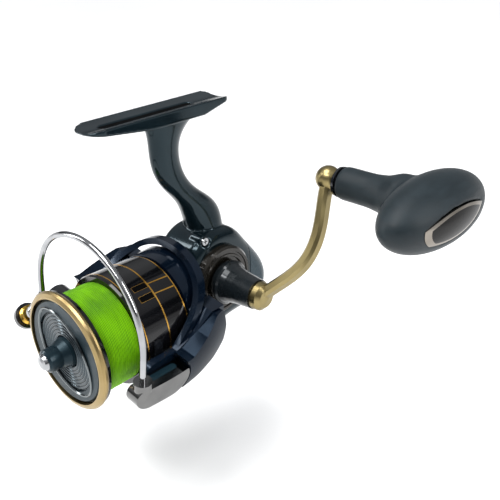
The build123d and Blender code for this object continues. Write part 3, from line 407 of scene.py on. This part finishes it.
def line_radius(part, share):
    """The winding's radius at a part of its length and a share of the way round."""
    turn = 2 * pi * share
    phase = 2 * pi * (part * TURNS + share)
    wander = 0.05 * sin(3 * turn + part * 17) + 0.04 * sin(7 * turn + part * 61)
    ridge = RIDGE * abs(cos(phase / 2)) ** 0.7
    return LINE_R - LINE_DEEP - LINE_TAPER * part + ridge + wander


def wound_line():
    """The wound line, from the arbor at one end to the arbor at the other."""
    rows = TURNS * TURN_ROWS
    sections = []
    for step in range(LINE_STEPS):
        share = step / LINE_STEPS
        turn = 2 * pi * share
        section = [around(LINE_START, ARBOR_R, turn)]
        for row in range(rows + 1):
            part = row / rows
            along = LINE_START + (LINE_END - LINE_START) * part
            section.append(around(along, line_radius(part, share), turn))
        section.append(around(LINE_END, ARBOR_R, turn))
        sections.append(section)
    return ring_mesh("wound_line", sections, sharp=60.0)


finish_piece(wound_line(), "wound_line", "line", "spool_body", ["line"])

# ---------------------------------------------------------------------------
# Gold lines, strips and slots on the spool's skirt; each slot is a dark plate of painted shade
# ---------------------------------------------------------------------------
SKIRT_START = 20.6
SKIRT_LONG = 22.4
SKIRT_R = 24.4
SKIRT_TAPER = 0.3
SKIRT_REAR_R = 24.0         # on the rounded rear edge
LINE_FRONT_Y = 21.6         # the three gold lines
LINE_MIDDLE_Y = 32.98
LINE_REAR_Y = 43.3
SUNK = 0.1                  # trim goes this far into the skirt
TRIM_LIFT = 0.05            # and stands this far out of it
# the painted shade plates in the slots stand this far out of the skirt
DARK_LIFT = 0.09
PATCH_STEPS = 10
BORDER = 0.12
DEGREES_PER_MM = 1 / 0.42   # around the skirt
WINDOW_FRONT = 25.6
WINDOW_BACK = 32.6
WINDOW_HALF = 3.2           # degrees
PAIR_APART = 12.0           # degrees between the two slots of a pair
PAIR_TURNS = (60.0, 240.0)
STRIP_FRONT = 33.2
STRIP_BACK = 43.0


def skirt_radius(y):
    """The skirt narrows a little towards its rear edge."""
    return SKIRT_R - SKIRT_TAPER * (y - SKIRT_START) / SKIRT_LONG


def gold_ring(name, y, radius, width):
    """A thin raised band around the skirt."""
    front = y - width / 2
    back = y + width / 2
    inside = radius - SUNK
    outside = radius + TRIM_LIFT
    mesh = lathe(name, [(front, inside), (front, outside), (back, outside), (back, inside)])
    finish_piece(mesh, name, "gold", "spool_body")


def skirt_patch(name, outline, look, lift):
    """A thin plate that lies on the skirt, from (mm behind the lip, degrees) corners."""
    points = []
    for i, (y0, a0) in enumerate(outline):
        y1, a1 = outline[(i + 1) % len(outline)]
        for step in range(PATCH_STEPS):
            part = step / PATCH_STEPS
            points.append((y0 + (y1 - y0) * part, radians(a0 + (a1 - a0) * part)))
    verts = []
    for offset in (-SUNK, lift):
        verts += [around(y, skirt_radius(y) + offset, turn) for y, turn in points]
    total = len(points)
    faces = [tuple(range(total, 2 * total)), tuple(reversed(range(total)))]
    for i in range(total):
        j = (i + 1) % total
        faces.append((i, j, total + j, total + i))
    finish_piece(solid_mesh(name, verts, faces), name, look, "spool_body")


def patch_outline(y0, y1, a0, a1):
    return [(y0, a0), (y1, a0), (y1, a1), (y0, a1)]


def bordered_window(name, angle):
    """A slot with a thin gold border on the skirt, drawn as a dark plate of painted shade where the
    opening is.
    """
    a0 = angle - WINDOW_HALF
    a1 = angle + WINDOW_HALF
    wide = BORDER * DEGREES_PER_MM
    border = patch_outline(WINDOW_FRONT, WINDOW_BACK, a0, a1)
    # the inner plate is painted shade, standing in for the shade inside the open slot
    dark = patch_outline(WINDOW_FRONT + BORDER, WINDOW_BACK - BORDER, a0 + wide, a1 - wide)
    skirt_patch(name + "_border", border, "gold", TRIM_LIFT)
    skirt_patch(name + "_dark", dark, "black", DARK_LIFT)


def tapered_strip(name, angle):
    """A gold strip that widens towards the skirt's rear edge."""
    outline = [
        (STRIP_FRONT, angle - 0.4), (STRIP_BACK, angle - 1.8),
        (STRIP_BACK, angle - 0.4), (STRIP_FRONT, angle + 0.6),
    ]
    skirt_patch(name, outline, "gold", TRIM_LIFT)


gold_ring("skirt_line_front", LINE_FRONT_Y, skirt_radius(LINE_FRONT_Y), 0.45)
gold_ring("skirt_line_middle", LINE_MIDDLE_Y, skirt_radius(LINE_MIDDLE_Y), 0.6)
gold_ring("skirt_line_rear", LINE_REAR_Y, SKIRT_REAR_R, 0.7)
for pair, base in enumerate(PAIR_TURNS):
    for side, angle in enumerate((base, base - PAIR_APART)):
        bordered_window(f"skirt_window_{pair}_{side}", angle)
        tapered_strip(f"skirt_strip_{pair}_{side}", angle)

# ---------------------------------------------------------------------------
# Floor of the foot's slot, in painted shade, and the dark inset of the grip's end plate
# ---------------------------------------------------------------------------
SLOT_HALF = 2.2
SLOT_LONG = 46.0
SLOT_MIDDLE = 50.0          # behind the lip
SLOT_FLOOR = -0.4           # under the middle of the saddle
SLOT_PLATE = 0.7
SLOT_STEPS = 48


def slot_floor():
    """A floor of painted shade for the long slot in the top of the foot, round at both ends."""
    straight = SLOT_LONG / 2 - SLOT_HALF
    bm = bmesh.new()
    outline = []
    for step in range(SLOT_STEPS):
        turn = 2 * pi * step / SLOT_STEPS
        side = straight if sin(turn) >= 0 else -straight
        spot = at(SLOT_HALF * cos(turn), SLOT_MIDDLE + side + SLOT_HALF * sin(turn), 0)
        outline.append(bm.verts.new((spot.x, spot.y, SLOT_FLOOR * MM)))
    thicken(bm, [bm.faces.new(outline)], -Z * SLOT_PLATE * MM)
    return mesh_from(bm, "foot_slot_floor")


def plate_inset(node_name, share, thick, lift):
    """A thin dark plate set on the middle of a node's curved outer face."""
    solid = bmesh.new()
    solid.from_mesh(NODES[node_name].data)
    surface = BVHTree.FromBMesh(solid)
    inset = solid.copy()
    solid.free()
    inward = [face for face in inset.faces if face.normal.x < 0.5]
    bmesh.ops.delete(inset, geom=inward, context="FACES")
    bmesh.ops.remove_doubles(inset, verts=inset.verts, dist=0.01 * MM)
    low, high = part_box(node_name)
    middle = (low + high) / 2
    outside = high.x + 10 * MM
    for vert in inset.verts:
        spot = middle + (vert.co - middle) * share
        hit = surface.ray_cast(Vector((outside, spot.y, spot.z)), -X)[0]
        vert.co = (hit or spot) + X * lift * MM
    thicken(inset, list(inset.faces), -X * thick * MM)
    return mesh_from(inset, node_name + "_inset")


# the slot's floor is painted shade: a matte near-black plate down in the recess
finish_piece(slot_floor(), "foot_slot_floor", "black", "reel_body")
end_inset = plate_inset("grip_plate", share=0.84, thick=0.3, lift=0.04)
finish_piece(end_inset, "grip_plate_inset", "glass", "grip_body")

# ---------------------------------------------------------------------------
# Face of the drag knob: a lens-shaped wall around a turned floor, with slate outside it
# ---------------------------------------------------------------------------
BAR_TURN = radians(-49.6)   # direction of the lens, from +X
LENS_LONG = 20.0
LENS_WIDE = 15.0
LENS_POWER = 1.85
WALL = 1.1
WALL_STEPS = 192
WALL_TOP = -1.35            # at the ends of the lens
WALL_CROWN = 1.1            # how much higher it would stand at the shaft
CHAMFER_OUT = (0.3, 0.25)
CHAMFER_IN = (0.45, 0.35)
RIM_IN = 17.3
FACE_Y = -0.85
FACE_SINK = 0.15            # the slate goes this far into the wall
FACE_SPAN = 1.35            # radians each side of the lens's waist
FACE_THINNEST = 0.2
FACE_STEPS = 48
KNOB_FLOOR = 0.9
FLOOR_IN = 6.9
FLOOR_OUT = 16.9
FLOOR_SINK = 0.05           # the turned floor goes this far into the knob
FLOOR_STEP_IN = -0.25       # its height at the post, and at the wall
FLOOR_STEP_OUT = -0.2
GROOVES = 7
GROOVE_START = 7.0
GROOVE_PITCH = 1.4
GROOVE = [(-0.55, 0.25), (-0.62, 0.6), (-0.5, 0.95), (FLOOR_STEP_OUT, 1.3)]


def lens_radius(turn, inset=0.0):
    """How far the lens outline lies from the shaft, in mm, in a direction around it."""
    along = abs(cos(turn - BAR_TURN)) / (LENS_LONG - inset)
    across = abs(sin(turn - BAR_TURN)) / (LENS_WIDE - inset)
    return (along**LENS_POWER + across**LENS_POWER) ** (-1 / LENS_POWER)


def wall_section(turn):
    """One cut through the wall, chamfered on both sides of its top."""
    outer = lens_radius(turn)
    inner = lens_radius(turn, WALL)
    top = WALL_TOP - WALL_CROWN * (1 - (outer / LENS_LONG) ** 2)
    outline = [
        (KNOB_FLOOR, outer), (top + CHAMFER_OUT[0], outer),
        (top, outer - CHAMFER_OUT[1]), (top, inner + CHAMFER_IN[1]),
        (top + CHAMFER_IN[0], inner), (KNOB_FLOOR, inner),
    ]
    return [around(y, radius, turn) for y, radius in outline]


def dial_face(name, waist):
    """The slate crescent between the lens and the knob's rim, on one side of the lens."""
    sections = []
    for step in range(-FACE_STEPS, FACE_STEPS + 1):
        turn = waist + step / FACE_STEPS * FACE_SPAN
        inner = lens_radius(turn) - FACE_SINK
        if inner < RIM_IN - FACE_THINNEST:
            outline = [(KNOB_FLOOR, inner), (FACE_Y, inner), (FACE_Y, RIM_IN), (KNOB_FLOOR, RIM_IN)]
            sections.append([around(y, radius, turn) for y, radius in outline])
    finish_piece(ring_mesh(name, sections, closed=False), name, "knob", "knob")


def turned_floor():
    """Shallow steps with rounded crests, inside the lens."""
    outline = [(KNOB_FLOOR + FLOOR_SINK, FLOOR_IN), (FLOOR_STEP_IN, FLOOR_IN)]
    for ring in range(GROOVES):
        start = GROOVE_START + ring * GROOVE_PITCH
        outline += [(y, start + out) for y, out in GROOVE]
    outline += [(FLOOR_STEP_OUT, FLOOR_OUT), (KNOB_FLOOR + FLOOR_SINK, FLOOR_OUT)]
    return lathe("knob_rings", outline)


dial_wall = ring_mesh("dial_wall", [wall_section(2 * pi * i / WALL_STEPS) for i in range(WALL_STEPS)])
finish_piece(dial_wall, "dial_wall", "bar", "knob", ["drag_bar"])
dial_face("dial_face_near", BAR_TURN + pi / 2)
dial_face("dial_face_far", BAR_TURN - pi / 2)
finish_piece(turned_floor(), "knob_rings", "rings", "knob")

# ---------------------------------------------------------------------------
# Floor, light and camera
# ---------------------------------------------------------------------------
# The floor clears the grip at the bottom of the handle's turn
GRIP_REACH = (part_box("grip")[1].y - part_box("grip")[0].y) / 2
CRANK_REACH = Vector((0, GRIP_AT.y - CRANK_AT.y, GRIP_AT.z - CRANK_AT.z)).length
FLOOR_Z = CRANK_AT.z - CRANK_REACH - GRIP_REACH - 2 * MM
FLOOR_SPAN = 30.0

corners = [(x * FLOOR_SPAN, y * FLOOR_SPAN, FLOOR_Z) for x, y in ((-1, -1), (1, -1), (1, 1), (-1, 1))]
floor_mesh = bpy.data.meshes.new("floor")
floor_mesh.from_pydata(corners, [], [(0, 1, 2, 3)])
floor = bpy.data.objects.new("floor", floor_mesh)
bpy.context.scene.collection.objects.link(floor)
floor_mat, floor_tree, floor_shader = new_material("floor_pale")
floor_tone = ramp(floor_tree, noise(floor_tree, 3.0), (0.86, 0.86, 0.86), (0.9, 0.9, 0.9))
floor_tree.links.new(floor_tone, floor_shader.inputs["Base Color"])
floor_shader.inputs["Roughness"].default_value = 0.6
floor_mesh.materials.append(floor_mat)

# Pale at the horizon, dark just above it, then brighter towards the top
SKY_BANDS = [
    (0.09, (1.5, 1.5, 1.5, 1)),
    (0.13, (0.035, 0.040, 0.048, 1)),
    (0.62, (0.95, 0.97, 1.0, 1)),
]


def studio_world():
    """A plain studio: a vertical run of tones, the same all the way round."""
    world = bpy.data.worlds.new("studio")
    bpy.context.scene.world = world
    world.use_nodes = True
    sky = world.node_tree
    background = sky.nodes["Background"]
    direction = node(sky, "ShaderNodeTexCoord")
    parts = node(sky, "ShaderNodeSeparateXYZ")
    bands = node(sky, "ShaderNodeValToRGB")
    tones = bands.color_ramp.elements
    tones.new(SKY_BANDS[1][0])
    for tone, (position, colour) in zip(tones, SKY_BANDS):
        tone.color = colour
        tone.position = position
    sky.links.new(direction.outputs["Generated"], parts.inputs["Vector"])
    sky.links.new(parts.outputs["Z"], bands.inputs["Fac"])
    sky.links.new(bands.outputs["Color"], background.inputs["Color"])
    background.inputs["Strength"].default_value = 0.55


studio_world()
bpy.context.scene.view_settings.view_transform = "Standard"


def softbox(name, place, width, height, power):
    """A rectangular area light that faces the reel."""
    light = bpy.data.lights.new(name, "AREA")
    light.shape = "RECTANGLE"
    light.size = width
    light.size_y = height
    light.energy = power
    holder = bpy.data.objects.new(name, light)
    holder.location = place
    holder.rotation_euler = (REEL_MIDDLE - Vector(place)).to_track_quat("-Z", "Y").to_euler()
    bpy.context.scene.collection.objects.link(holder)


REEL_MIDDLE = Vector((0.02, 0.0, -0.06))
softbox("side_left", (-0.50, -0.35, 0.20), 0.10, 0.5, 2.2)
softbox("side_right", (0.60, 0.15, 0.30), 0.12, 0.5, 2.6)
softbox("front_top", (0.10, -0.45, 0.55), 0.5, 0.12, 3.0)
sun = bpy.data.lights.new("sun", "SUN")
sun.energy = 2.5
sun.angle = radians(35)
sun_holder = bpy.data.objects.new("sun", sun)
sun_holder.rotation_euler = (radians(14), radians(-10), 0)
bpy.context.scene.collection.objects.link(sun_holder)

AZIMUTH = radians(43.67)
ELEVATION = radians(26.51)
ROLL = radians(-1.26)
CAMERA_AT = Vector((0.21641, -0.17245, 0.07642))
LENS_MM = 51.65
SENSOR_MM = 36.0

right = Vector((cos(AZIMUTH), sin(AZIMUTH), 0))
back = Vector((sin(AZIMUTH) * cos(ELEVATION), -cos(AZIMUTH) * cos(ELEVATION), sin(ELEVATION)))
up = back.cross(right)
camera_x = right * cos(ROLL) + up * sin(ROLL)
camera_y = up * cos(ROLL) - right * sin(ROLL)
camera = bpy.data.cameras.new("camera")
camera.sensor_width = SENSOR_MM
camera.lens = LENS_MM
camera.clip_start = 0.01
camera_holder = bpy.data.objects.new("camera", camera)
matrix = Matrix((camera_x, camera_y, back)).transposed().to_4x4()
matrix.translation = CAMERA_AT
camera_holder.matrix_world = matrix
bpy.context.scene.collection.objects.link(camera_holder)
bpy.context.scene.camera = camera_holder

bpy.context.view_layer.update()
